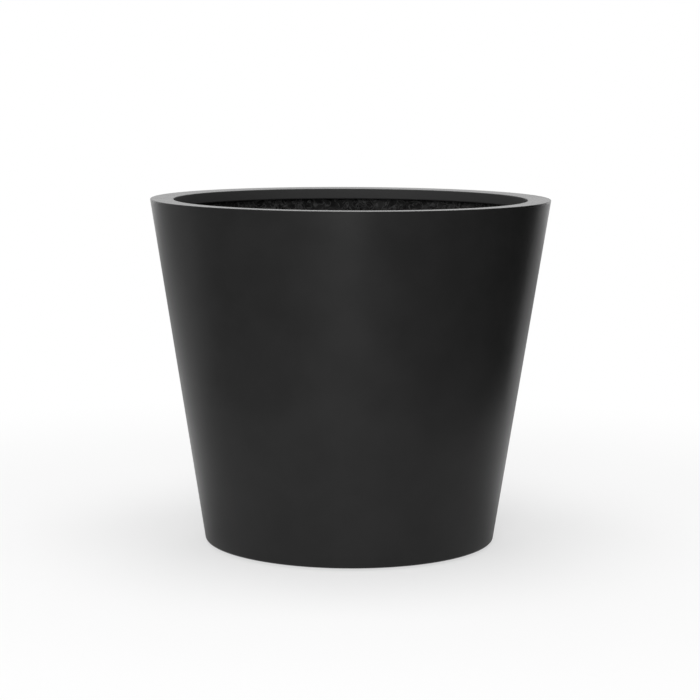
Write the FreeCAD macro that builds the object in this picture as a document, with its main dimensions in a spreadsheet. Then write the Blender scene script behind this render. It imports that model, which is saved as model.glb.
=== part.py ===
"""Tapered round floor planter: a bonded composite shell on rubber pads, with a lift-out drain plug.

The pot stands on the XY plane with its axis on Z. All sizes are millimetres and live in the
spreadsheet "Sizes"; every sketch, pad, fillet and place is bound to those cells.
"""
import FreeCAD
import Part
import Sketcher

import enum
import os

# Driving sizes: alias, value, what it measures.
SIZES = [
    ("top_diameter", 580, "outer diameter of the rim's top edge, before it is rounded"),
    ("base_diameter", 424, "outer diameter of the foot, before its edge is rounded"),
    ("shell_height", 500, "foot of the wall to the rim's top face"),
    ("wall_thickness", 6, "cast outer wall, square to its face"),
    ("foot_width", 34, "foot ring, from its outer edge to the recess under the floor"),
    ("foot_depth", 12, "foot ring's height, which lifts the floor clear of the ground"),
    ("foot_edge_radius", 4, "round on the foot's outer edge"),
    ("bond_line", 0.3, "adhesive gap between bonded pieces"),
    ("lining_thickness", 3, "rough fibre lining inside the wall"),
    ("rim_width", 34, "flat top of the rim, from its outer edge to the mouth"),
    ("rim_thickness", 7, "rim's flange"),
    ("rim_edge_radius", 1, "round on the rim's two top edges"),
    ("lip_depth", 17, "rim's turned-down lip, from the top face"),
    ("lip_thickness", 7, "rim's turned-down lip, across"),
    ("lip_edge_radius", 2, "round on the lip's two lower edges"),
    ("spigot_depth", 9, "rim's locating ring, below the flange"),
    ("spigot_thickness", 3, "rim's locating ring, across"),
    ("floor_thickness", 9, "floor disc"),
    ("cove_leg", 14, "reach of the resin cove along the floor and up the lining"),
    ("drain_diameter", 28, "drain hole through the floor"),
    ("plug_seat_width", 7, "recess round the drain hole, for the plug's head"),
    ("plug_seat_depth", 2, "depth of that recess"),
    ("plug_clearance", 0.3, "plug to hole and plug to recess, each side"),
    ("plug_head_height", 5, "plug's head"),
    ("plug_head_radius", 1.5, "round on the plug head's top edge"),
    ("plug_stem_length", 14, "plug's tapered stem below its head"),
    ("plug_stem_draft", 1.5, "how much the stem narrows, each side"),
    ("grip_width", 24, "plug's finger grip, the long way"),
    ("grip_thickness", 7, "plug's finger grip, the short way"),
    ("grip_height", 16, "plug's finger grip, above the head"),
    ("grip_edge_radius", 2.5, "round on the grip's top and ends"),
    ("pad_diameter", 14, "rubber foot pad"),
    ("pad_height", 3, "rubber foot pad"),
    ("pad_edge_radius", 0.8, "round on the pad's lower edge"),
    ("pad_inset", 2.5, "foot ring's inner edge to the pad, which keeps the pad out of sight"),
]
PAD_COUNT = 4
PAD_TURN_SHARE = 0.5  # the pads stand this share of a step round from the X axis
FULL_TURN = 360  # degrees
ROUND_SHARE = 0.45  # a round takes at most this share of the wall it is cut from
MATCH_SHARE = 0.01  # edges nearer than this share of the bond line are one place


class Point(enum.IntEnum):
    """A curve's points, as a sketch numbers them."""
    FIRST = 1
    LAST = 2
    CENTRE = 3


class Datum(enum.IntEnum):
    """A sketch's own origin and axes, as it numbers them."""
    ORIGIN = -1
    ACROSS = -1
    UPRIGHT = -2


# Places and radii, each an expression over the sheet.
TOP_RADIUS = "(Sizes.top_diameter / 2)"
BASE_RADIUS = "(Sizes.base_diameter / 2)"
SLOPE = f"(({TOP_RADIUS} - {BASE_RADIUS}) / Sizes.shell_height)"
LEVEL = f"sqrt(1 + {SLOPE} * {SLOPE})"  # times a thickness square to the wall, gives it measured level
FOOT_Z = "Sizes.pad_height"
LEDGE_Z = f"({FOOT_Z} + Sizes.foot_depth)"
FLOOR_Z = f"({LEDGE_Z} + Sizes.floor_thickness)"
SEAT_Z = f"({FLOOR_Z} - Sizes.plug_seat_depth)"
TOP_Z = f"({FOOT_Z} + Sizes.shell_height)"
FLANGE_Z = f"({TOP_Z} - Sizes.rim_thickness)"
SPIGOT_Z = f"({FLANGE_Z} - Sizes.spigot_depth)"
LINING_TOP_Z = f"({SPIGOT_Z} - Sizes.bond_line)"
LIP_Z = f"({TOP_Z} - Sizes.lip_depth)"
FOOT_INNER = f"({BASE_RADIUS} - Sizes.foot_width)"
MOUTH_RADIUS = f"({TOP_RADIUS} - Sizes.rim_width)"
LIP_BACK = f"({MOUTH_RADIUS} + Sizes.lip_thickness)"
DRAIN_RADIUS = "(Sizes.drain_diameter / 2)"
PAD_RADIUS = "(Sizes.pad_diameter / 2)"


def wall_outer(z):
    """Radius of the wall's outer face at height z."""
    return f"({BASE_RADIUS} + ({z} - {FOOT_Z}) * {SLOPE})"


def wall_inner(z):
    """Radius of the wall's inner face at height z."""
    return f"({wall_outer(z)} - Sizes.wall_thickness * {LEVEL})"


def bonded_in(z):
    """Radius of a piece glued inside the wall, at height z."""
    return f"({wall_inner(z)} - Sizes.bond_line * {LEVEL})"


def lining_inner(z):
    """Radius of the lining's rough face at height z."""
    return f"({bonded_in(z)} - Sizes.lining_thickness * {LEVEL})"


def spigot_inner(z):
    """Radius of the inner face of the rim's locating ring at height z."""
    return f"({bonded_in(z)} - Sizes.spigot_thickness * {LEVEL})"


doc = FreeCAD.newDocument("planter")
sheet = doc.addObject("Spreadsheet::Sheet", "Sizes")
for row, (alias, value, note) in enumerate(SIZES, start=1):
    sheet.set(f"A{row}", note)
    sheet.set(f"B{row}", str(value))
    sheet.setAlias(f"B{row}", alias)
doc.recompute()


def number(expression):
    """Present value of an expression over the sheet."""
    return float(sheet.evalExpression(expression))


SAME_PLACE = number(f"Sizes.bond_line * {MATCH_SHARE}")


def new_body(label):
    """An empty body whose label names the piece."""
    body = doc.addObject("PartDesign::Body", label)
    body.Label = label
    return body


def new_sketch(body, name, role="XZ_Plane"):
    """A sketch on one of the body's own origin planes."""
    sketch = body.newObject("Sketcher::SketchObject", name)
    plane = next(item for item in body.Origin.OriginFeatures if item.Role == role)
    sketch.AttachmentSupport = [(plane, "")]
    sketch.MapMode = "FlatFace"
    return sketch


def bind(sketch, expression, kind, *places):
    """A dimension of the given kind, held to an expression."""
    index = sketch.addConstraint(Sketcher.Constraint(kind, *places, number(expression)))
    sketch.setExpression(f"Constraints[{index}]", expression)


def pin_start(sketch, line, across, up):
    """Holds a line's first point to the sketch's origin by two expressions; "0" puts it on the axis."""
    for kind, axis, place in (("DistanceX", Datum.UPRIGHT, across), ("DistanceY", Datum.ACROSS, up)):
        if place == "0":
            sketch.addConstraint(Sketcher.Constraint("PointOnObject", line, Point.FIRST, axis))
        else:
            bind(sketch, place, kind, Datum.ORIGIN, Point.FIRST, line, Point.FIRST)


def add_outline(sketch, corners):
    """A closed outline of straight lines through corners, each a pair of expressions."""
    points = [FreeCAD.Vector(number(across), number(up), 0) for across, up in corners]
    lines = []
    for start, end in zip(points, points[1:] + points[:1]):
        lines.append(sketch.addGeometry(Part.LineSegment(start, end), False))
    for line, after in zip(lines, lines[1:] + lines[:1]):
        sketch.addConstraint(Sketcher.Constraint("Coincident", line, Point.LAST, after, Point.FIRST))
    for line, (across, up) in zip(lines, corners):
        pin_start(sketch, line, across, up)


def revolve(body, sketch):
    """A full turn of a sketch about its upright axis."""
    turn = body.newObject("PartDesign::Revolution", f"{body.Label}_turn")
    turn.Profile = sketch
    turn.ReferenceAxis = (sketch, ["V_Axis"])
    turn.Angle = FULL_TURN
    doc.recompute()
    return turn


def turned(body, corners):
    """A solid of revolution about Z, from corners given as (radius, height) expressions."""
    sketch = new_sketch(body, f"{body.Label}_profile")
    add_outline(sketch, corners)
    return revolve(body, sketch)


def ring_edges(feature, rings):
    """Names of the feature's circular edges that lie at the given (radius, height) expressions."""
    wanted = [(number(radius), number(height)) for radius, height in rings]
    found = []
    for index, edge in enumerate(feature.Shape.Edges, start=1):
        if not isinstance(edge.Curve, Part.Circle):
            continue
        radius, height = edge.Curve.Radius, edge.Curve.Center.z
        if any(abs(radius - r) < SAME_PLACE and abs(height - z) < SAME_PLACE for r, z in wanted):
            found.append(f"Edge{index}")
    return found


def rounded(body, base, edges, size, wall):
    """A fillet of a sheet size on the named edges, no larger than the wall that it is cut from allows."""
    fillet = body.newObject("PartDesign::Fillet", f"{body.Label}_{size}")
    fillet.Base = (base, edges)
    fillet.setExpression("Radius", f"min(Sizes.{size}; Sizes.{wall} * {ROUND_SHARE})")
    doc.recompute()
    return fillet


def make_outer_wall():
    """Cast wall with its foot ring, whose ledge carries the floor."""
    body = new_body("outer_wall")
    turn = turned(body, [
        (BASE_RADIUS, FOOT_Z),
        (wall_outer(FLANGE_Z), FLANGE_Z),
        (wall_inner(FLANGE_Z), FLANGE_Z),
        (wall_inner(LEDGE_Z), LEDGE_Z),
        (FOOT_INNER, LEDGE_Z),
        (FOOT_INNER, FOOT_Z),
    ])
    foot_edge = ring_edges(turn, [(BASE_RADIUS, FOOT_Z)])
    rounded(body, turn, foot_edge, "foot_edge_radius", "foot_depth")
    return body


def make_floor_disc():
    """Floor that drops onto the ledge, with the drain hole and the recess for the plug's head."""
    body = new_body("floor_disc")
    turned(body, [
        ("0", LEDGE_Z),
        (bonded_in(LEDGE_Z), LEDGE_Z),
        (bonded_in(FLOOR_Z), FLOOR_Z),
        ("0", FLOOR_Z),
    ])
    centre = new_sketch(body, "drain_centre", "XY_Plane")
    centre.setExpression("AttachmentOffset.Base.z", FLOOR_Z)
    unit_circle = Part.Circle(FreeCAD.Vector(), FreeCAD.Vector(0, 0, 1), 1)
    circle = centre.addGeometry(unit_circle, False)
    centre.addConstraint(
        Sketcher.Constraint("Coincident", circle, Point.CENTRE, Datum.ORIGIN, Point.FIRST)
    )
    bind(centre, "Sizes.drain_diameter", "Diameter", circle)
    doc.recompute()
    hole = body.newObject("PartDesign::Hole", "drain_hole")
    hole.Profile = centre
    hole.setExpression("Diameter", "Sizes.drain_diameter")
    hole.DepthType = "ThroughAll"
    hole.HoleCutType = "Counterbore"
    hole.HoleCutCustomValues = True
    hole.setExpression("HoleCutDiameter", "Sizes.drain_diameter + 2 * Sizes.plug_seat_width")
    hole.setExpression("HoleCutDepth", "Sizes.plug_seat_depth")
    doc.recompute()
    return body


def make_wall_lining():
    """Rough fibre lining, standing on the floor and ending under the rim's locating ring."""
    body = new_body("wall_lining")
    turned(body, [
        (bonded_in(FLOOR_Z), FLOOR_Z),
        (bonded_in(LINING_TOP_Z), LINING_TOP_Z),
        (lining_inner(LINING_TOP_Z), LINING_TOP_Z),
        (lining_inner(FLOOR_Z), FLOOR_Z),
    ])
    return body


def make_floor_cove():
    """Resin bead in the corner of floor and lining, hollowed to an arc that runs into both."""
    body = new_body("floor_cove")
    corner_r = f"({lining_inner(FLOOR_Z)} - Sizes.bond_line * {LEVEL})"
    top_r = f"({corner_r} + Sizes.cove_leg * {SLOPE} / {LEVEL})"
    top_z = f"({FLOOR_Z} + Sizes.cove_leg / {LEVEL})"
    hollow_radius = number(f"Sizes.cove_leg * ({LEVEL} + {SLOPE})")
    corner = FreeCAD.Vector(number(corner_r), number(FLOOR_Z), 0)
    top = FreeCAD.Vector(number(top_r), number(top_z), 0)
    toe = corner - FreeCAD.Vector(number("Sizes.cove_leg"), 0, 0)
    hollow = toe + FreeCAD.Vector(0, hollow_radius, 0)
    deepest = hollow + (corner - hollow).normalize() * hollow_radius

    sketch = new_sketch(body, "floor_cove_profile")
    along_floor = sketch.addGeometry(Part.LineSegment(corner, toe), False)
    cove = sketch.addGeometry(Part.Arc(toe, deepest, top), False)
    down_wall = sketch.addGeometry(Part.LineSegment(top, corner), False)
    sketch.addConstraint(Sketcher.Constraint("Tangent", along_floor, Point.LAST, cove, Point.FIRST))
    sketch.addConstraint(Sketcher.Constraint("Coincident", cove, Point.LAST, down_wall, Point.FIRST))
    sketch.addConstraint(Sketcher.Constraint("Coincident", down_wall, Point.LAST, along_floor, Point.FIRST))
    pin_start(sketch, along_floor, corner_r, FLOOR_Z)
    pin_start(sketch, down_wall, top_r, top_z)
    bind(sketch, "Sizes.cove_leg", "DistanceX", along_floor, Point.LAST, along_floor, Point.FIRST)
    revolve(body, sketch)
    return body


def make_rim_ring():
    """Flat rim with a turned-down lip at the mouth and a locating ring that drops inside the wall."""
    body = new_body("rim_ring")
    turn = turned(body, [
        (TOP_RADIUS, TOP_Z),
        (MOUTH_RADIUS, TOP_Z),
        (MOUTH_RADIUS, LIP_Z),
        (LIP_BACK, LIP_Z),
        (LIP_BACK, FLANGE_Z),
        (spigot_inner(FLANGE_Z), FLANGE_Z),
        (spigot_inner(SPIGOT_Z), SPIGOT_Z),
        (bonded_in(SPIGOT_Z), SPIGOT_Z),
        (bonded_in(FLANGE_Z), FLANGE_Z),
        (wall_outer(FLANGE_Z), FLANGE_Z),
    ])
    top_edges = ring_edges(turn, [(TOP_RADIUS, TOP_Z), (MOUTH_RADIUS, TOP_Z)])
    eased = rounded(body, turn, top_edges, "rim_edge_radius", "rim_thickness")
    lip_edges = ring_edges(eased, [(MOUTH_RADIUS, LIP_Z), (LIP_BACK, LIP_Z)])
    rounded(body, eased, lip_edges, "lip_edge_radius", "lip_thickness")
    return body


def make_drain_plug():
    """Rubber plug: a stem in the drain hole, a head in its recess, and a finger grip to lift it by."""
    body = new_body("drain_plug")
    stem_top = f"({DRAIN_RADIUS} - Sizes.plug_clearance)"
    stem_end = f"({stem_top} - Sizes.plug_stem_draft)"
    stem_z = f"({SEAT_Z} - Sizes.plug_stem_length)"
    head = f"({DRAIN_RADIUS} + Sizes.plug_seat_width - Sizes.plug_clearance)"
    head_z = f"({SEAT_Z} + Sizes.plug_head_height)"
    turn = turned(body, [
        ("0", stem_z),
        (stem_end, stem_z),
        (stem_top, SEAT_Z),
        (head, SEAT_Z),
        (head, head_z),
        ("0", head_z),
    ])
    rounded(body, turn, ring_edges(turn, [(head, head_z)]), "plug_head_radius", "plug_head_height")

    sketch = new_sketch(body, "grip_profile")
    right = "(Sizes.grip_width / 2)"
    left = f"-{right}"
    grip_z = f"({head_z} + Sizes.grip_height)"
    add_outline(sketch, [(right, head_z), (right, grip_z), (left, grip_z), (left, head_z)])
    grip = body.newObject("PartDesign::Pad", "grip")
    grip.Profile = sketch
    grip.Midplane = True
    grip.setExpression("Length", "Sizes.grip_thickness")
    doc.recompute()
    above_head = number(head_z) + SAME_PLACE
    grip_edges = [
        f"Edge{index}"
        for index, edge in enumerate(grip.Shape.Edges, start=1)
        if isinstance(edge.Curve, Part.Line) and edge.BoundBox.ZMax > above_head
    ]
    rounded(body, grip, grip_edges, "grip_edge_radius", "grip_thickness")
    return body


def make_foot_pad(index):
    """One of the rubber pads stuck under the flat of the foot ring, evenly spaced."""
    body = new_body(f"foot_pad_{index}")
    turn = turned(body, [
        ("0", "0"),
        (PAD_RADIUS, "0"),
        (PAD_RADIUS, "Sizes.pad_height"),
        ("0", "Sizes.pad_height"),
    ])
    rounded(body, turn, ring_edges(turn, [(PAD_RADIUS, "0")]), "pad_edge_radius", "pad_height")
    ring = f"({FOOT_INNER} + Sizes.pad_inset + {PAD_RADIUS})"
    angle = FULL_TURN * (index - PAD_TURN_SHARE) / PAD_COUNT
    body.setExpression("Placement.Base.x", f"{ring} * cos({angle})")
    body.setExpression("Placement.Base.y", f"{ring} * sin({angle})")
    doc.recompute()
    return body


pieces = [
    make_outer_wall(),
    make_floor_disc(),
    make_wall_lining(),
    make_floor_cove(),
    make_rim_ring(),
    make_drain_plug(),
]
for pad_index in range(1, PAD_COUNT + 1):
    pieces.append(make_foot_pad(pad_index))
doc.recompute()

for item in doc.Objects:
    if "Invalid" in item.State or "Error" in item.State:
        raise RuntimeError(f"{item.Label} did not build: {item.State}")
for piece in pieces:
    if piece.Shape.isNull() or not piece.Shape.isValid() or not piece.Shape.Solids:
        raise RuntimeError(f"{piece.Label} has no valid solid")
os.makedirs("parts", exist_ok=True)
for piece in pieces:
    piece.Shape.exportStep(f"parts/{piece.Label}.step")
    print(f"{piece.Label}: {piece.Shape.Volume:.0f} cubic mm")
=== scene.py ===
"""Tapered black floor planter: painted shell, rough fibre lining, resin, rubber and a plain studio.

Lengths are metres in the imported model's own frame: the pot stands on z = 0 with its axis on Z.
"""

import math
from typing import NamedTuple

import bmesh
import bpy
from mathutils import Matrix, Vector


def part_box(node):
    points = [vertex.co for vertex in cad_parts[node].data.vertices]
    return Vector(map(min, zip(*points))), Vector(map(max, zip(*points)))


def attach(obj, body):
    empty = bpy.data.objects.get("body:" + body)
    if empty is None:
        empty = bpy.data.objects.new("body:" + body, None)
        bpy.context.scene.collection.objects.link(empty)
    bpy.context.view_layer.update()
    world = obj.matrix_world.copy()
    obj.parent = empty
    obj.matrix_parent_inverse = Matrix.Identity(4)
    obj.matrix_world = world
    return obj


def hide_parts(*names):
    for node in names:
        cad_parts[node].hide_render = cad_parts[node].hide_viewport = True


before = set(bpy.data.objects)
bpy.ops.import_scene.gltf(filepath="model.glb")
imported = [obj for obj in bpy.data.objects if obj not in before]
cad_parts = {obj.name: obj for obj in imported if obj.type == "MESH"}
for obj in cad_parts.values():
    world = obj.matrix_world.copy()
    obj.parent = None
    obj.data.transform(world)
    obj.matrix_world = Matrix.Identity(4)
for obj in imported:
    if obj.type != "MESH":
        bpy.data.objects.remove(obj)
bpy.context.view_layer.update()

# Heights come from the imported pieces.
FOOT_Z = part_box("outer_wall")[0].z
FLANGE_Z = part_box("outer_wall")[1].z
LEDGE_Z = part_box("floor_disc")[0].z
FLOOR_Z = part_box("floor_disc")[1].z
LINING_TOP_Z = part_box("wall_lining")[1].z
LIP_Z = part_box("rim_ring")[0].z
TOP_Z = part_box("rim_ring")[1].z

# The shell's driving sizes, as the pot is built.
TOP_RADIUS = 0.290
BASE_RADIUS = 0.212
WALL = 0.006  # thickness, square to the wall
BOND = 0.0003  # gap that the adhesive fills
LINING = 0.003  # thickness, square to the wall
FOOT_WIDTH = 0.034
FOOT_ROUND = 0.004
FOOT_INNER_ROUND = 0.002
RIM_WIDTH = 0.034
RIM_FALL = 0.001  # the hand-finished rim dips this much towards the mouth
RIM_ROUND = 0.001
LIP = 0.007  # thickness of the lip that turns down into the mouth
LIP_ROUND = 0.002
SPIGOT = 0.003  # thickness of the rim's locating ring, square to the wall
COVE_LEG = 0.014
DRAIN_RADIUS = 0.014
SEAT_WIDTH = 0.007
SEAT_DEPTH = 0.002
SEAT_MARGIN = 0.012  # the floor's relief fades out over this width round the plug's recess

SPIGOT_Z = LINING_TOP_Z + BOND
MOUTH_RADIUS = TOP_RADIUS - RIM_WIDTH
FOOT_INNER = BASE_RADIUS - FOOT_WIDTH
SEAT_RADIUS = DRAIN_RADIUS + SEAT_WIDTH
SEAT_Z = FLOOR_Z - SEAT_DEPTH
SLOPE = (TOP_RADIUS - BASE_RADIUS) / (TOP_Z - FOOT_Z)
LEVEL = math.hypot(1.0, SLOPE)  # times a thickness square to the wall, gives it measured level


def outer(z):
    """Radius of the shell's outer face at height z."""
    return BASE_RADIUS + (z - FOOT_Z) * SLOPE


def inner(z):
    """Radius of the cast wall's inner face at height z."""
    return outer(z) - WALL * LEVEL


def bonded(z):
    """Radius of a piece glued inside the wall, at height z."""
    return inner(z) - BOND * LEVEL


def lining_face(z):
    """Radius of the lining's rough face at height z."""
    return bonded(z) - LINING * LEVEL


def spigot_face(z):
    """Radius of the inner face of the rim's locating ring at height z."""
    return bonded(z) - SPIGOT * LEVEL


def linked(name, data):
    """A new object in the scene."""
    made = bpy.data.objects.new(name, data)
    bpy.context.scene.collection.objects.link(made)
    return made


# Node helpers, for geometry and for materials alike.

NOISE_MIDDLE = 0.5
NOISE_BAND = (0.3, 0.7)  # nearly all of a noise lies between these
NOISE_CORE = (0.35, 0.65)  # and most of it between these


def socket_of(sockets, key):
    """The enabled socket of that name, or the socket at that place."""
    if isinstance(key, int):
        return sockets[key]
    return next(item for item in sockets if item.name == key and item.enabled)


def feed(tree, node, inputs):
    """Fills inputs of a node, each with a value or with a link from a socket."""
    for key, value in inputs.items():
        target = socket_of(node.inputs, key)
        if isinstance(value, bpy.types.NodeSocket):
            tree.links.new(value, target)
        else:
            target.default_value = value


def add(tree, kind, inputs=None, **settings):
    """A new node of that kind, with its properties set and its inputs filled."""
    made = tree.nodes.new(kind)
    for name, value in settings.items():
        setattr(made, name, value)
    feed(tree, made, inputs or {})
    return made


def maths(tree, operation, first, second=0.0):
    """One sum on two numbers."""
    return add(tree, "ShaderNodeMath", {0: first, 1: second}, operation=operation).outputs[0]


def vectors(tree, operation, first, second):
    """One sum on two vectors."""
    return add(tree, "ShaderNodeVectorMath", {0: first, 1: second}, operation=operation).outputs[0]


def times(tree, vector, number):
    """A vector times a number."""
    return add(tree, "ShaderNodeVectorMath", {0: vector, "Scale": number}, operation="SCALE").outputs[0]


def length_of(tree, vector):
    """The length of a vector."""
    return add(tree, "ShaderNodeVectorMath", {0: vector}, operation="LENGTH").outputs["Value"]


def ramp(tree, value, low, high, to_low=0.0, to_high=1.0):
    """A value eased from one range to another and held at its ends."""
    places = {0: value, 1: low, 2: high, 3: to_low, 4: to_high}
    return add(tree, "ShaderNodeMapRange", places, interpolation_type="SMOOTHSTEP").outputs[0]


def blend(tree, first, second, share):
    """A share of the first number and the rest of the second."""
    part = maths(tree, "MULTIPLY", first, share)
    return maths(tree, "ADD", part, maths(tree, "MULTIPLY", second, 1.0 - share))


def noise(tree, where, scale, detail=2.0, distortion=0.0, output="Fac"):
    """Noise from 0 to 1 with about `scale` lumps to the metre."""
    sockets = {"Vector": where, "Scale": scale, "Detail": detail, "Distortion": distortion}
    return add(tree, "ShaderNodeTexNoise", sockets, noise_type="FBM", normalize=True).outputs[output]


def off_middle(tree, value):
    """How far a value from 0 to 1 is from the middle, either way."""
    return maths(tree, "ABSOLUTE", maths(tree, "SUBTRACT", value, NOISE_MIDDLE))


# Helpers for geometry trees.


def new_tree(name, sockets):
    """A geometry tree with named inputs for its sizes, with the sockets that it is given and its result."""
    tree = bpy.data.node_groups.new(name, "GeometryNodeTree")
    tree.interface.new_socket("Geometry", in_out="INPUT", socket_type="NodeSocketGeometry")
    for label, kind in sockets.items():
        tree.interface.new_socket(label, in_out="INPUT", socket_type="NodeSocket" + kind)
    tree.interface.new_socket("Geometry", in_out="OUTPUT", socket_type="NodeSocketGeometry")
    return tree, tree.nodes.new("NodeGroupInput").outputs, tree.nodes.new("NodeGroupOutput").inputs


def attribute(tree, name, kind="FLOAT"):
    """A named value stored on the geometry."""
    return add(tree, "GeometryNodeInputNamedAttribute", {"Name": name}, data_type=kind).outputs["Attribute"]


def compare(tree, operation, first, second):
    """True where one number is greater or less than another."""
    return add(tree, "FunctionNodeCompare", {"A": first, "B": second}, operation=operation).outputs[0]


def random_value(tree, kind, low, high, seed):
    """A random value for each point."""
    made = add(tree, "FunctionNodeRandomValue", {"Min": low, "Max": high, "Seed": seed}, data_type=kind)
    return socket_of(made.outputs, "Value")


def sampled(tree, mesh, value, kind):
    """A value of the mesh, taken where its surface is nearest."""
    made = add(tree, "GeometryNodeSampleNearestSurface", {"Mesh": mesh, "Value": value}, data_type=kind)
    return socket_of(made.outputs, "Value")


def circle(tree, steps, radius):
    """A circle in the XY plane, as a curve."""
    sockets = {"Resolution": steps, "Radius": radius}
    return add(tree, "GeometryNodeCurvePrimitiveCircle", sockets, mode="RADIUS").outputs["Curve"]


def smoothed(tree, geometry):
    """The geometry with every face shaded smooth."""
    return add(tree, "GeometryNodeSetShadeSmooth", {"Geometry": geometry}, domain="FACE").outputs[0]


def finished(tree, geometry, finish, result):
    """Ends a tree: nothing is left as an instance, and the finish is set."""
    real = add(tree, "GeometryNodeRealizeInstances", {"Geometry": geometry})
    coated = add(tree, "GeometryNodeSetMaterial", {"Geometry": real.outputs[0], "Material": finish})
    tree.links.new(coated.outputs[0], result)


# Turned pieces.

SWEEP_RADIUS = 0.1  # any circle will do: the outline is moved in by as much
SHARP_EDGE = math.radians(40)
RIDGES_PER_LUMP = 3.2  # how much finer the ridges of a laminate are than its lumps
RIDGE_CREST = 0.25  # what the crest of a ridge adds to the lumps, as a share of the relief


class Corner(NamedTuple):
    """A corner of an outline, with its own round, the cuts up to the next corner and how rough it is."""
    radius: float
    height: float
    round: float = 0.0
    cuts: int = 0
    rough: float = 0.0


def outline_mesh(name, corners):
    """A closed outline in the XZ plane that carries each corner's values."""
    mesh = bpy.data.meshes.new(name)
    count = len(corners)
    mesh.from_pydata(
        [(corner.radius, 0.0, corner.height) for corner in corners],
        [(place, (place + 1) % count) for place in range(count)],
        [],
    )
    for label, kind in (("round", "FLOAT"), ("cuts", "INT"), ("rough", "FLOAT")):
        values = mesh.attributes.new(label, kind, "POINT").data
        for item, corner in zip(values, corners):
            item.value = getattr(corner, label)
    return mesh


def swept(tree, outline, segments):
    """An outline in the XZ plane swept round the Z axis, smooth but for its sharp edges."""
    laid = add(
        tree,
        "GeometryNodeTransform",
        {
            "Geometry": outline,
            "Translation": (-SWEEP_RADIUS, 0.0, 0.0),
            "Rotation": (math.pi / 2, 0.0, 0.0),
        },
    )
    skin = add(
        tree,
        "GeometryNodeCurveToMesh",
        {"Curve": circle(tree, segments, SWEEP_RADIUS), "Profile Curve": laid.outputs[0]},
    )
    bend = add(tree, "GeometryNodeInputMeshEdgeAngle").outputs["Unsigned Angle"]
    return add(
        tree,
        "GeometryNodeSetShadeSmooth",
        {
            "Geometry": smoothed(tree, skin.outputs[0]),
            "Selection": compare(tree, "GREATER_THAN", bend, SHARP_EDGE),
            "Shade Smooth": False,
        },
        domain="EDGE",
    ).outputs[0]


def turning_tree():
    """Rounds each corner of an outline and turns it."""
    sockets = {"Segments": "Int", "Arc Steps": "Int", "Finish": "Material"}
    tree, given, result = new_tree("turned shell", sockets)
    curve = add(tree, "GeometryNodeMeshToCurve", {"Mesh": given["Geometry"]}).outputs[0]
    eased = add(
        tree,
        "GeometryNodeFilletCurve",
        {"Curve": curve, "Radius": attribute(tree, "round"), "Limit Radius": True},
        mode="POLY",
    )
    feed(tree, eased, {"Count": given["Arc Steps"]})
    finished(tree, swept(tree, eased.outputs[0], given["Segments"]), given["Finish"], result["Geometry"])
    return tree


def laminate_tree():
    """Turns an outline and raises the relief of chopped fibre and resin on its rough faces."""
    sockets = {"Segments": "Int", "Relief": "Float", "Lump Scale": "Float", "Finish": "Material"}
    tree, given, result = new_tree("laid-up laminate", sockets)
    curve = add(tree, "GeometryNodeMeshToCurve", {"Mesh": given["Geometry"]}).outputs[0]
    cut = add(
        tree,
        "GeometryNodeSubdivideCurve",
        {"Curve": curve, "Cuts": attribute(tree, "cuts", "INT")},
    )
    skin = swept(tree, cut.outputs[0], given["Segments"])
    place = add(tree, "GeometryNodeInputPosition").outputs[0]
    lumps = noise(tree, place, given["Lump Scale"], detail=3.0, distortion=0.6)
    fine_scale = maths(tree, "MULTIPLY", given["Lump Scale"], RIDGES_PER_LUMP)
    fine = noise(tree, place, fine_scale, detail=3.0, distortion=1.2)
    ridges = maths(tree, "SUBTRACT", RIDGE_CREST, off_middle(tree, fine))
    both = maths(tree, "ADD", maths(tree, "SUBTRACT", lumps, NOISE_MIDDLE), ridges)
    height = maths(tree, "MULTIPLY", both, given["Relief"])
    height = maths(tree, "MULTIPLY", height, attribute(tree, "rough"))
    normal = add(tree, "GeometryNodeInputNormal").outputs[0]
    raised = add(
        tree,
        "GeometryNodeSetPosition",
        {"Geometry": skin, "Offset": times(tree, normal, height)},
    )
    finished(tree, raised.outputs[0], given["Finish"], result["Geometry"])
    return tree


# Chopped strands.

STRAND_ARCS = ((0.007, 290), (0.013, 190), (0.030, 80))  # radius and sweep in degrees of each cut
STRAND_STEPS = 9
STRAND_SIDES = 4
STRAND_SIZES = (0.5, 1.3)  # least and most, times the arcs above
STRAND_FACE = 0.9  # strands start only where the face is rougher than this
STRAND_SHORTEST = 0.004  # what is left of a trimmed strand is dropped below this length
TRIM_ROUGHNESS = 0.98  # strands are trimmed where the face under them is smoother than this
CURL_SCALE = 70.0  # bends to the metre
CURL_SWING = 0.012  # from one extreme of a bend to the other


def strand_arcs(tree):
    """One arc for each cut of strand, as instances to pick from."""
    cuts = add(tree, "GeometryNodeJoinGeometry")
    for radius, sweep in STRAND_ARCS:
        arc = add(
            tree,
            "GeometryNodeCurveArc",
            {"Resolution": STRAND_STEPS, "Radius": radius, "Sweep Angle": math.radians(sweep)},
            mode="RADIUS",
        )
        single = add(tree, "GeometryNodeGeometryToInstance", {"Geometry": arc.outputs["Curve"]})
        tree.links.new(single.outputs[0], cuts.inputs[0])
    return cuts.outputs[0]


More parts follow.
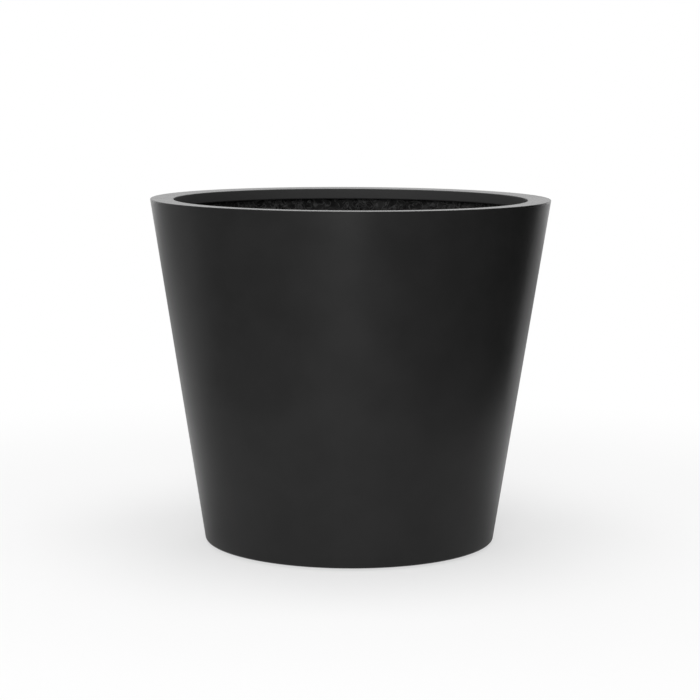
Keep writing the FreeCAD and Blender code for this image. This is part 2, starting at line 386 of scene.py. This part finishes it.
def strewn_strands(tree, laminate, density, seed):
    """Arcs scattered over the rough faces of a laminate, each with its own cut, turn and size."""
    scatter = add(
        tree,
        "GeometryNodeDistributePointsOnFaces",
        {
            "Mesh": laminate,
            "Selection": compare(tree, "GREATER_THAN", attribute(tree, "rough"), STRAND_FACE),
            "Density": density,
            "Seed": seed,
        },
        distribute_method="RANDOM",
    )
    spin = random_value(tree, "FLOAT_VECTOR", (0.0, 0.0, 0.0), (0.0, 0.0, 2 * math.pi), seed)
    turned = add(
        tree,
        "FunctionNodeRotateRotation",
        {"Rotation": scatter.outputs["Rotation"], "Rotate By": spin},
        rotation_space="LOCAL",
    )
    strewn = add(
        tree,
        "GeometryNodeInstanceOnPoints",
        {
            "Points": scatter.outputs["Points"],
            "Instance": strand_arcs(tree),
            "Pick Instance": True,
            "Instance Index": random_value(tree, "INT", 0, len(STRAND_ARCS) - 1, seed),
            "Rotation": turned.outputs[0],
            "Scale": random_value(tree, "FLOAT", *STRAND_SIZES, seed),
        },
    )
    return add(tree, "GeometryNodeRealizeInstances", {"Geometry": strewn.outputs[0]}).outputs[0]


def laid_strands(tree, strands, laminate, lift):
    """Strands bent at random and pulled onto the laminate, a little proud of it."""
    place = add(tree, "GeometryNodeInputPosition").outputs[0]
    curl = noise(tree, place, CURL_SCALE, detail=1.0, output="Color")
    curl = vectors(tree, "SUBTRACT", curl, (NOISE_MIDDLE, NOISE_MIDDLE, NOISE_MIDDLE))
    shift = times(tree, curl, CURL_SWING)
    bent = add(tree, "GeometryNodeSetPosition", {"Geometry": strands, "Offset": shift})
    nearest = add(tree, "GeometryNodeProximity", {"Geometry": laminate}, target_element="FACES")
    normal = add(tree, "GeometryNodeInputNormal").outputs[0]
    proud = times(tree, sampled(tree, laminate, normal, "FLOAT_VECTOR"), lift)
    spot = vectors(tree, "ADD", nearest.outputs["Position"], proud)
    laid = add(tree, "GeometryNodeSetPosition", {"Geometry": bent.outputs[0], "Position": spot})
    return laid.outputs[0]


def trimmed_strands(tree, strands, laminate):
    """Curved strands cut off where they run over the edge of the rough face, less the stubs."""
    under = sampled(tree, laminate, attribute(tree, "rough"), "FLOAT")
    past_edge = compare(tree, "LESS_THAN", under, TRIM_ROUGHNESS)
    length = add(tree, "GeometryNodeSplineLength").outputs["Length"]
    stub = compare(tree, "LESS_THAN", length, STRAND_SHORTEST)
    for unwanted, domain in ((past_edge, "POINT"), (stub, "CURVE")):
        sockets = {"Geometry": strands, "Selection": unwanted}
        strands = add(tree, "GeometryNodeDeleteGeometry", sockets, domain=domain).outputs[0]
    return strands


def strand_tree():
    """Scatters curled strands of chopped fibre over the rough faces of a laminate and lays them on it."""
    sockets = {
        "Density": "Float",
        "Thickness": "Float",
        "Lift": "Float",
        "Seed": "Int",
        "Finish": "Material",
    }
    tree, given, result = new_tree("chopped strands", sockets)
    laminate = given["Geometry"]
    strands = strewn_strands(tree, laminate, given["Density"], given["Seed"])
    strands = laid_strands(tree, strands, laminate, given["Lift"])
    strands = trimmed_strands(tree, strands, laminate)
    section = circle(tree, STRAND_SIDES, given["Thickness"])
    tubes = add(
        tree,
        "GeometryNodeCurveToMesh",
        {"Curve": strands, "Profile Curve": section, "Fill Caps": True},
    )
    finished(tree, smoothed(tree, tubes.outputs[0]), given["Finish"], result["Geometry"])
    return tree


# Moulded ridges.

RIDGE_STEPS = 17
RIDGE_SIDES = 12
RIDGE_FULLNESS = 8.0  # the higher, the closer to its ends a ridge stays full
RIDGE_END = 1.02  # over 1, so that a ridge ends in a small flat


def ridge_tree():
    """Stacks rounded ridges, each along X, upwards from every point it is given."""
    sockets = {
        "Rows": "Int",
        "Spacing": "Float",
        "Length": "Float",
        "Radius": "Float",
        "Finish": "Material",
    }
    tree, given, result = new_tree("moulded ridges", sockets)
    step = add(tree, "ShaderNodeCombineXYZ", {"Z": given["Spacing"]}).outputs[0]
    stack = add(tree, "GeometryNodeMeshLine", {"Count": given["Rows"], "Offset": step}, mode="OFFSET")
    half = maths(tree, "MULTIPLY", given["Length"], 0.5)
    far_end = add(tree, "ShaderNodeCombineXYZ", {"X": half}).outputs[0]
    near_end = times(tree, far_end, -1.0)
    line = add(tree, "GeometryNodeCurvePrimitiveLine", {"Start": near_end, "End": far_end}, mode="POINTS")
    fine = add(tree, "GeometryNodeResampleCurve", {"Curve": line.outputs[0], "Count": RIDGE_STEPS})
    along = add(tree, "GeometryNodeSplineParameter").outputs["Factor"]
    outward = maths(tree, "MULTIPLY", off_middle(tree, along), 2.0)
    taper = maths(tree, "POWER", outward, RIDGE_FULLNESS)
    swell = maths(tree, "SQRT", maths(tree, "SUBTRACT", RIDGE_END, taper))
    full = add(tree, "GeometryNodeSetCurveRadius", {"Curve": fine.outputs[0], "Radius": swell})
    bar = add(
        tree,
        "GeometryNodeCurveToMesh",
        {
            "Curve": full.outputs[0],
            "Profile Curve": circle(tree, RIDGE_SIDES, given["Radius"]),
            "Scale": add(tree, "GeometryNodeInputRadius").outputs[0],
            "Fill Caps": True,
        },
    )
    rounded = smoothed(tree, bar.outputs[0])
    rows = add(tree, "GeometryNodeInstanceOnPoints", {"Points": stack.outputs[0], "Instance": rounded})
    stacks = add(
        tree,
        "GeometryNodeInstanceOnPoints",
        {"Points": given["Geometry"], "Instance": rows.outputs[0]},
    )
    finished(tree, stacks.outputs[0], given["Finish"], result["Geometry"])
    return tree


def grown(name, mesh, tree, **inputs):
    """A plain mesh piece made by running a geometry tree on a mesh, with its faces turned outwards."""
    piece = linked(name, mesh)
    modifier = piece.modifiers.new("build", "NODES")
    modifier.node_group = tree
    for item in tree.interface.items_tree:
        label = item.name.lower().replace(" ", "_")
        if item.in_out == "INPUT" and label in inputs:
            modifier[item.identifier] = inputs[label]
    bpy.context.view_layer.update()
    evaluated = piece.evaluated_get(bpy.context.evaluated_depsgraph_get())
    made = bpy.data.meshes.new_from_object(evaluated)
    piece.modifiers.clear()
    piece.data = made
    solid = bmesh.new()
    solid.from_mesh(made)
    if solid.calc_volume(signed=True) < 0:
        made.flip_normals()
    solid.free()
    return piece


def placed(piece, slot, *nodes, body="pot"):
    """Lets a piece ride on its body and stand for its CAD nodes, which it hides; the slot is not used."""
    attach(piece, body)
    if nodes:
        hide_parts(*nodes)


# Finishes. Pairs of greys and of roughness run from the low end of a noise to its high end.

WHITE = (1.0, 1.0, 1.0, 1.0)


def new_finish(name):
    """A material with its node tree and its shader."""
    material = bpy.data.materials.new(name)
    material.use_nodes = True
    return material, material.node_tree, material.node_tree.nodes["Principled BSDF"]


def object_place(tree):
    """Where a point is on its object."""
    return add(tree, "ShaderNodeTexCoord").outputs["Object"]


def grey(level):
    """An opaque grey."""
    return (level, level, level, 1.0)


def mixed(tree, factor, first, second):
    """A colour between two colours."""
    made = add(tree, "ShaderNodeMix", {"Factor": factor, "A": first, "B": second}, data_type="RGBA")
    return socket_of(made.outputs, "Result")


def tint(tree, factor, dark, light):
    """A colour between two greys."""
    return mixed(tree, factor, grey(dark), grey(light))


def bumped(tree, height, depth):
    """The normal of a height from 0 to 1 that is so many metres deep."""
    return add(tree, "ShaderNodeBump", {"Height": height, "Distance": depth, "Strength": 1.0}).outputs[0]


PAINT_GREYS = (0.0135, 0.0165)
PAINT_ROUGHNESS = (0.276, 0.296)
PAINT_SPECULAR = 0.12
MOTTLE_SHARE = 0.7  # of the paint's shade; the rest is grain
GRAIN_DEPTH = 0.00006
# Painted light: the lip's inner face is painted this lighter grey, standing in for light on it.
PAINTED_LIP_GREY = 0.043
LIP_DULLNESS = 0.25  # how much rougher the lip's inner face is
LIP_LIGHT_FULL = 0.0005  # outside the mouth's radius, the lip's painted light and roughness are full up to here
LIP_LIGHT_END = 0.0015  # and ends here
LIP_LIGHT_FADE = 0.002  # below the lip, they fade out over this height
RUB_GLOSS = 0.05  # how much smoother the rubbed rim is
RUB_START = 0.0025  # below the rim's top
RUB_FULL = 0.0012


def matte_black_paint():
    """Matte black mineral paint: fine grain, faint mottling, a rim rubbed smooth and a rougher lip inside,
    painted a lighter grey as painted light.
    """
    material, tree, shader = new_finish("matte black mineral paint")
    coords = object_place(tree)
    mottle = noise(tree, coords, scale=16.0, detail=4.0)
    grain = noise(tree, coords, scale=900.0, detail=3.0)
    across, along, height = add(tree, "ShaderNodeSeparateXYZ", {0: coords}).outputs
    radius = length_of(tree, add(tree, "ShaderNodeCombineXYZ", {"X": across, "Y": along}).outputs[0])
    # The lip's inner face: painted light as a lighter grey, and more roughness.
    inside = ramp(tree, radius, MOUTH_RADIUS + LIP_LIGHT_FULL, MOUTH_RADIUS + LIP_LIGHT_END, 1.0, 0.0)
    painted_lip_light = maths(tree, "MULTIPLY", inside, ramp(tree, height, LIP_Z - LIP_LIGHT_FADE, LIP_Z))
    rubbed = ramp(tree, height, TOP_Z - RUB_START, TOP_Z - RUB_FULL, 0.0, RUB_GLOSS)
    shade = ramp(tree, blend(tree, mottle, grain, MOTTLE_SHARE), *NOISE_BAND)
    dull = ramp(tree, mottle, *NOISE_BAND, *PAINT_ROUGHNESS)
    dull = maths(tree, "ADD", dull, maths(tree, "MULTIPLY", painted_lip_light, LIP_DULLNESS))
    feed(tree, shader, {
        "Base Color": mixed(tree, painted_lip_light, tint(tree, shade, *PAINT_GREYS), grey(PAINTED_LIP_GREY)),
        "Roughness": maths(tree, "SUBTRACT", dull, rubbed),
        "Specular IOR Level": PAINT_SPECULAR,
        "Normal": bumped(tree, grain, GRAIN_DEPTH),
    })
    return material


LAMINATE_GREYS = (0.006, 0.028)
LAMINATE_ROUGHNESS = (0.85, 0.5)
LAMINATE_SPECULAR = 0.25
LAMINATE_DEPTH = 0.0008
PATCH_SHARE = 0.65  # of the laminate's shade; the rest is speckle
SPECKLE_SHARE = 0.4  # of the laminate's relief; the rest is swirls
SWIRL_GREY = 0.095
SWIRL_SHARE = 0.7  # how far a swirl covers what is under it
SWIRL_WIDTH = 0.07  # in the noise whose middle line a swirl follows


def rough_laminate():
    """Dark fibre laminate: resin-rich patches, dull rough lumps and paler swirls of strand in the resin."""
    material, tree, shader = new_finish("dark fibre laminate")
    coords = object_place(tree)
    patches = noise(tree, coords, scale=60.0, detail=4.0, distortion=1.0)
    speckle = noise(tree, coords, scale=420.0, detail=3.0)
    winding = noise(tree, coords, scale=75.0, detail=1.0, distortion=1.5)
    swirls = ramp(tree, off_middle(tree, winding), 0.0, SWIRL_WIDTH, 1.0, 0.0)
    shade = ramp(tree, blend(tree, patches, speckle, PATCH_SHARE), *NOISE_CORE)
    plain = tint(tree, shade, *LAMINATE_GREYS)
    feed(tree, shader, {
        "Base Color": mixed(tree, maths(tree, "MULTIPLY", swirls, SWIRL_SHARE), plain, grey(SWIRL_GREY)),
        "Roughness": ramp(tree, patches, *NOISE_BAND, *LAMINATE_ROUGHNESS),
        "Specular IOR Level": LAMINATE_SPECULAR,
        "Normal": bumped(tree, blend(tree, speckle, swirls, SPECKLE_SHARE), LAMINATE_DEPTH),
    })
    return material


STRAND_GREYS = (0.018, 0.085)
STRAND_ROUGHNESS = 0.5
STRAND_SPECULAR = 0.3


def fibre_strand():
    """Resin-wetted glass strand, a little paler than the laminate under it."""
    material, tree, shader = new_finish("resin-wetted strand")
    shade = noise(tree, object_place(tree), scale=35.0)
    feed(tree, shader, {
        "Base Color": tint(tree, ramp(tree, shade, *NOISE_CORE), *STRAND_GREYS),
        "Roughness": STRAND_ROUGHNESS,
        "Specular IOR Level": STRAND_SPECULAR,
    })
    return material


RESIN_GREYS = (0.012, 0.02)
RESIN_ROUGHNESS = (0.5, 0.62)
RESIN_DEPTH = 0.0004


def cast_resin():
    """Black resin bead, smoother than the laminate."""
    material, tree, shader = new_finish("black resin")
    lumps = noise(tree, object_place(tree), scale=90.0, detail=3.0)
    feed(tree, shader, {
        "Base Color": tint(tree, ramp(tree, lumps, *NOISE_BAND), *RESIN_GREYS),
        "Roughness": ramp(tree, lumps, *NOISE_BAND, *RESIN_ROUGHNESS),
        "Normal": bumped(tree, lumps, RESIN_DEPTH),
    })
    return material


RUBBER_GREYS = (0.016, 0.026)
RUBBER_ROUGHNESS = (0.62, 0.75)
BLOOM_BAND = (0.35, 0.7)  # the part of the noise over which the rubber turns paler
TOOTH_DEPTH = 0.00005


def moulded_rubber():
    """Matte moulded rubber with a fine tooth and a faint bloom."""
    material, tree, shader = new_finish("moulded black rubber")
    coords = object_place(tree)
    tooth = noise(tree, coords, scale=1500.0)
    bloom = noise(tree, coords, scale=120.0, detail=3.0)
    feed(tree, shader, {
        "Base Color": tint(tree, ramp(tree, bloom, *BLOOM_BAND), *RUBBER_GREYS),
        "Roughness": ramp(tree, bloom, *NOISE_BAND, *RUBBER_ROUGHNESS),
        "Normal": bumped(tree, tooth, TOOTH_DEPTH),
    })
    return material


# The pot's pieces.

SHELL_TURNING = {"segments": 320, "arc_steps": 6}


def make_shell(turning, paint):
    """The cast wall with its foot ring, and the flat rim with its turned-down lip."""
    wall = grown(
        "wall_skin",
        outline_mesh("wall outline", [
            Corner(BASE_RADIUS, FOOT_Z, FOOT_ROUND),
            Corner(outer(FLANGE_Z), FLANGE_Z),
            Corner(inner(FLANGE_Z), FLANGE_Z),
            Corner(inner(LEDGE_Z), LEDGE_Z),
            Corner(FOOT_INNER, LEDGE_Z),
            Corner(FOOT_INNER, FOOT_Z, FOOT_INNER_ROUND),
        ]),
        turning, finish=paint, **SHELL_TURNING,
    )
    rim = grown(
        "rim_skin",
        outline_mesh("rim outline", [
            Corner(TOP_RADIUS, TOP_Z, RIM_ROUND),
            Corner(MOUTH_RADIUS, TOP_Z - RIM_FALL, RIM_ROUND),
            Corner(MOUTH_RADIUS, LIP_Z, LIP_ROUND),
            Corner(MOUTH_RADIUS + LIP, LIP_Z, LIP_ROUND),
            Corner(MOUTH_RADIUS + LIP, FLANGE_Z),
            Corner(spigot_face(FLANGE_Z), FLANGE_Z),
            Corner(spigot_face(SPIGOT_Z), SPIGOT_Z),
            Corner(bonded(SPIGOT_Z), SPIGOT_Z),
            Corner(bonded(FLANGE_Z), FLANGE_Z),
            Corner(outer(FLANGE_Z), FLANGE_Z),
        ]),
        turning, finish=paint, **SHELL_TURNING,
    )
    for piece in (wall, rim):
        even = piece.modifiers.new("even", "WEIGHTED_NORMAL")
        even.keep_sharp = True
    placed(wall, "black_composite", "outer_wall")
    placed(rim, "black_composite", "rim_ring")


LINING_SEGMENTS = 600
LINING_ROWS = 150
LINING_LAYING = {"segments": LINING_SEGMENTS, "relief": 0.0022, "lump_scale": 55.0}
LINING_STRANDS = {"density": 3000.0, "thickness": 0.0006, "lift": 0.0001, "seed": 7}


def make_lining(laying, strewing, skin, strand):
    """The rough lining inside the wall, with its chopped strands."""
    lining = grown(
        "lining_laminate",
        outline_mesh("lining outline", [
            Corner(bonded(FLOOR_Z), FLOOR_Z),
            Corner(bonded(LINING_TOP_Z), LINING_TOP_Z),
            Corner(lining_face(LINING_TOP_Z), LINING_TOP_Z, cuts=LINING_ROWS, rough=1.0),
            Corner(lining_face(FLOOR_Z), FLOOR_Z, rough=1.0),
        ]),
        laying, finish=skin, **LINING_LAYING,
    )
    fuzz = grown("lining_strands", lining.data.copy(), strewing, finish=strand, **LINING_STRANDS)
    placed(lining, "fibre_laminate", "wall_lining")
    placed(fuzz, "fibre_laminate")


COVE_STEPS = 8
COVE_LAYING = {"segments": LINING_SEGMENTS, "relief": 0.0008, "lump_scale": 40.0}


def cove_corners():
    """Outline of the resin bead: the floor, an arc that runs into floor and lining, and the lining."""
    corner = lining_face(FLOOR_Z) - BOND * LEVEL
    bend = COVE_LEG * (LEVEL + SLOPE)
    turn = math.pi / 2 - math.atan(SLOPE)
    corners = [Corner(corner, FLOOR_Z)]
    for step in range(COVE_STEPS + 1):
        angle = turn * step / COVE_STEPS
        corners.append(Corner(
            corner - COVE_LEG + bend * math.sin(angle),
            FLOOR_Z + bend * (1 - math.cos(angle)),
            rough=1.0,
        ))
    return corners


FLOOR_ROWS = 60
MARGIN_ROWS = 6
UNDERSIDE_ROWS = 12
FLOOR_LAYING = {"segments": 400, "relief": 0.0016, "lump_scale": 55.0}
FLOOR_STRANDS = {"density": 1800.0, "thickness": 0.00035, "lift": 0.0001, "seed": 11}


def make_floor(laying, strewing, skin, strand, resin):
    """The floor with its drain hole and plug recess, its strands, and the resin bead round it."""
    floor = grown(
        "floor_laminate",
        outline_mesh("floor outline", [
            Corner(DRAIN_RADIUS, LEDGE_Z, cuts=UNDERSIDE_ROWS),
            Corner(bonded(LEDGE_Z), LEDGE_Z),
            Corner(bonded(FLOOR_Z), FLOOR_Z, cuts=FLOOR_ROWS, rough=1.0),
            Corner(SEAT_RADIUS + SEAT_MARGIN, FLOOR_Z, cuts=MARGIN_ROWS, rough=1.0),
            Corner(SEAT_RADIUS, FLOOR_Z),
            Corner(SEAT_RADIUS, SEAT_Z),
            Corner(DRAIN_RADIUS, SEAT_Z),
        ]),
        laying, finish=skin, **FLOOR_LAYING,
    )
    fuzz = grown("floor_strands", floor.data.copy(), strewing, finish=strand, **FLOOR_STRANDS)
    cove_outline = outline_mesh("cove outline", cove_corners())
    cove = grown("cove_bead", cove_outline, laying, finish=resin, **COVE_LAYING)
    placed(floor, "fibre_laminate", "floor_disc")
    placed(fuzz, "fibre_laminate")
    placed(cove, "fibre_laminate", "floor_cove")


PLUG_HEAD_TOP = 0.005  # above its seat
GRIP_THICKNESS = 0.007
RIDGE_START = 0.0048  # lowest ridge above the plug's head
RIDGES = {"rows": 4, "spacing": 0.0024, "length": 0.015, "radius": 0.0007}


def make_grip_ridges(rubber):
    """Finger ridges moulded on both flat sides of the plug's grip."""
    lowest = SEAT_Z + PLUG_HEAD_TOP + RIDGE_START
    starts = bpy.data.meshes.new("ridge starts")
    starts.from_pydata([(0.0, side * GRIP_THICKNESS / 2, lowest) for side in (-1, 1)], [], [])
    ridges = grown("grip_ridges", starts, ridge_tree(), finish=rubber, **RIDGES)
    placed(ridges, "black_rubber", body="plug")


def dress_rubber(rubber):
    """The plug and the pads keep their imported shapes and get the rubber."""
    for name in ("drain_plug", "foot_pad_1", "foot_pad_2", "foot_pad_3", "foot_pad_4"):
        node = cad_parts[name]
        node.data.materials.clear()
        node.data.materials.append(rubber)


def make_pot():
    """Every piece of the pot, with its finish."""
    paint = matte_black_paint()
    skin = rough_laminate()
    strand = fibre_strand()
    laying = laminate_tree()
    strewing = strand_tree()
    make_shell(turning_tree(), paint)
    make_lining(laying, strewing, skin, strand)
    make_floor(laying, strewing, skin, strand, cast_resin())
    rubber = moulded_rubber()
    dress_rubber(rubber)
    make_grip_ridges(rubber)


# The studio. What the floor and the world look like in gloss is set apart from what the camera sees.

AMBIENT = 0.05


def reflected(tree, ray):
    """1 for a ray that shows the studio in gloss or in glass, else 0."""
    return maths(tree, "MAXIMUM", ray["Is Glossy Ray"], ray["Is Transmission Ray"])


def make_surroundings():
    """White round about for the camera and for reflections, and an even, weaker light on the pot."""
    world = bpy.data.worlds.new("studio")
    bpy.context.scene.world = world
    world.use_nodes = True
    tree = world.node_tree
    tree.nodes.clear()
    ray = add(tree, "ShaderNodeLightPath").outputs
    seen = maths(tree, "MAXIMUM", ray["Is Camera Ray"], reflected(tree, ray))
    strength = add(tree, "ShaderNodeMapRange", {0: seen, 1: 0.0, 2: 1.0, 3: AMBIENT, 4: 1.0}).outputs[0]
    light = add(tree, "ShaderNodeBackground", {"Color": WHITE, "Strength": strength})
    add(tree, "ShaderNodeOutputWorld", {"Surface": light.outputs[0]})


# Distances are from the pot's axis. Pairs give where a change starts and ends.
GROUND_RADIUS = 40.0
GROUND_SIDES = 128
GROUND_GREY = 0.86
GROUND_ROUGHNESS = 0.9
SHADOW_REACH = (0.3, 1.4)  # the camera sees plain white beyond this
SHADOW_WHITE = 0.6  # and this share of it close to the pot, where the shadow lies
PAINTED_LIGHT_REACH = (0.35, 0.9)  # reflections see a painted patch of white light on the floor up to this distance
PAINTED_LIGHT_FRONT = (-0.2, -0.02)  # only in front of the pot: full before the first Y, none past the second
PAINTED_LIGHT_WHITE = 0.75  # with this share of white
FAR_REACH = (2.2, 6.0)  # and plain white far away
PAINTED_SHADE_LEFT = -0.75  # in reflections the floor has painted shade, from the middle to this X at the left
PAINTED_SHADE_RIGHT = 0.50  # and to this X at the right
PAINTED_SHADE_MOST = 0.85  # where the painted shade takes away this share of the floor's light
PAINTED_SHADE_FRONT = (-0.4, 0.4)  # only in front of the pot: full before the first Y, none past the second
PAINTED_SHADE_REACH = (0.45, 0.95)  # and in full only beyond this distance
PAINTED_SHADE_CLOSE = 0.15  # with this share of it close to the pot


def white_share(tree, ray, away, along):
    """How much of the floor is plain white: round about for the camera and far off in reflections, and in
    reflections also a painted patch of light close in front of the pot.
    """
    clear = ramp(tree, away, *SHADOW_REACH, SHADOW_WHITE, 1.0)
    # Painted light: in reflections the floor is whiter close in front of the pot.
    painted_light = ramp(tree, away, *PAINTED_LIGHT_REACH, PAINTED_LIGHT_WHITE, 0.0)
    painted_light = maths(tree, "MULTIPLY", painted_light, ramp(tree, along, *PAINTED_LIGHT_FRONT, 1.0, 0.0))
    pale = maths(tree, "MAXIMUM", painted_light, ramp(tree, away, *FAR_REACH))
    for_camera = maths(tree, "MULTIPLY", ray["Is Camera Ray"], clear)
    for_gloss = maths(tree, "MULTIPLY", reflected(tree, ray), pale)
    return maths(tree, "MAXIMUM", for_camera, for_gloss)


def painted_shade_share(tree, ray, away, across, along):
    """How much painted shade the floor carries in reflections, in front of the pot and to its sides."""
    aside = maths(
        tree,
        "MAXIMUM",
        ramp(tree, across, PAINTED_SHADE_LEFT, 0.0, PAINTED_SHADE_MOST, 0.0),
        ramp(tree, across, 0.0, PAINTED_SHADE_RIGHT, 0.0, PAINTED_SHADE_MOST),
    )
    in_front = ramp(tree, along, *PAINTED_SHADE_FRONT, 1.0, 0.0)
    beyond = ramp(tree, away, *PAINTED_SHADE_REACH, PAINTED_SHADE_CLOSE, 1.0)
    shaded = maths(tree, "MULTIPLY", maths(tree, "MULTIPLY", aside, in_front), beyond)
    return maths(tree, "MULTIPLY", reflected(tree, ray), shaded)


def make_ground():
    """A pale floor that takes the pot's shadow and runs out to plain white, with painted light and shade
    that only reflections see.
    """
    mesh = bpy.data.meshes.new("ground")
    sheet = bmesh.new()
    bmesh.ops.create_circle(sheet, cap_ends=True, segments=GROUND_SIDES, radius=GROUND_RADIUS)
    sheet.to_mesh(mesh)
    sheet.free()
    ground = linked("ground", mesh)
    material, tree, shader = new_finish("pale studio floor")
    feed(tree, shader, {
        "Base Color": grey(GROUND_GREY),
        "Roughness": GROUND_ROUGHNESS,
        "Specular IOR Level": 0.0,
    })
    coords = object_place(tree)
    away = length_of(tree, coords)
    across, along = add(tree, "ShaderNodeSeparateXYZ", {0: coords}).outputs[:2]
    ray = add(tree, "ShaderNodeLightPath").outputs
    # Black that the floor's painted shade mixes in, seen only in reflections.
    dark = add(tree, "ShaderNodeEmission", {"Strength": 0.0})
    white = add(tree, "ShaderNodeEmission", {"Color": WHITE, "Strength": 1.0})
    painted_shade_mix = add(
        tree,
        "ShaderNodeMixShader",
        {0: painted_shade_share(tree, ray, away, across, along), 1: shader.outputs[0], 2: dark.outputs[0]},
    )
    whole = add(
        tree,
        "ShaderNodeMixShader",
        {0: white_share(tree, ray, away, along), 1: painted_shade_mix.outputs[0], 2: white.outputs[0]},
    )
    feed(tree, tree.nodes["Material Output"], {"Surface": whole.outputs[0]})
    mesh.materials.append(material)


CARD_X = 0.80
CARD_NEAR_Y = -1.0
CARD_FAR_Y = 0.48
CARD_TOP_Z = 0.90
CARD_GREY = 0.03


def make_side_card():
    """A black card out of frame on the right, which keeps stray light off that side of the pot."""
    corners = (
        (CARD_X, CARD_NEAR_Y, 0.0),
        (CARD_X, CARD_FAR_Y, 0.0),
        (CARD_X, CARD_FAR_Y, CARD_TOP_Z),
        (CARD_X, CARD_NEAR_Y, CARD_TOP_Z),
    )
    mesh = bpy.data.meshes.new("side card")
    mesh.from_pydata(corners, [], [(0, 1, 2, 3)])
    card = linked("side_card", mesh)
    material, tree, shader = new_finish("black card")
    feed(tree, shader, {"Base Color": grey(CARD_GREY), "Specular IOR Level": 0.0})
    mesh.materials.append(material)
    for ray in ("camera", "transmission", "volume_scatter", "shadow"):
        setattr(card, "visible_" + ray, False)


class Softbox(NamedTuple):
    """A soft light: where it stands, its width and height, its power in watts and if gloss shows it."""
    name: str
    place: tuple
    width: float
    height: float
    power: float
    mirrored: bool = True


AIM = Vector((0.0, 0.0, 0.28))
SOFTBOXES = [
    Softbox("front", (-0.25, -3.61, 1.05), 1.4, 1.4, 69.0, mirrored=False),
    Softbox("low strip", (-0.06, -2.0, 0.16), 0.5, 0.22, 2.6),
    Softbox("left", (-1.82, -2.60, 0.73), 1.2, 1.2, 15.0),
    Softbox("top", (0.0, -0.28, 3.47), 2.4, 2.4, 101.0),
    Softbox("back", (0.0, 2.06, 2.73), 1.2, 1.2, 10.0),
    Softbox("rear left", (-2.6, 4.8, 0.27), 2.0, 0.36, 80.0, mirrored=False),
    Softbox("rear right", (2.6, 4.8, 0.27), 2.0, 0.36, 80.0, mirrored=False),
]


def make_lights():
    """The softboxes, each turned towards the pot."""
    for box in SOFTBOXES:
        light = bpy.data.lights.new(box.name, "AREA")
        light.shape = "RECTANGLE"
        light.size = box.width
        light.size_y = box.height
        light.energy = box.power
        lamp = linked(box.name + " softbox", light)
        lamp.location = box.place
        lamp.rotation_euler = (AIM - Vector(box.place)).to_track_quat("-Z", "Y").to_euler()
        lamp.visible_camera = False
        lamp.visible_glossy = box.mirrored


CAMERA_PLACE = Vector((0.0, -3.0892, 0.6914))
CAMERA_PITCH = math.radians(7.576)
CAMERA_ROLL = math.radians(0.247)
CAMERA_LENS = 109.4  # on the default sensor, 36 mm wide


def make_camera():
    """The photograph's view: a long lens a little above the rim, a hair off level."""
    camera = linked("camera", bpy.data.cameras.new("camera"))
    camera.data.lens = CAMERA_LENS
    down = Matrix.Rotation(math.pi / 2 - CAMERA_PITCH, 4, "X")
    camera.matrix_world = Matrix.Translation(CAMERA_PLACE) @ down @ Matrix.Rotation(CAMERA_ROLL, 4, "Z")
    bpy.context.scene.camera = camera


make_camera()
make_surroundings()
make_ground()
make_side_card()
make_lights()
make_pot()

bpy.context.scene.view_settings.view_transform = "Standard"
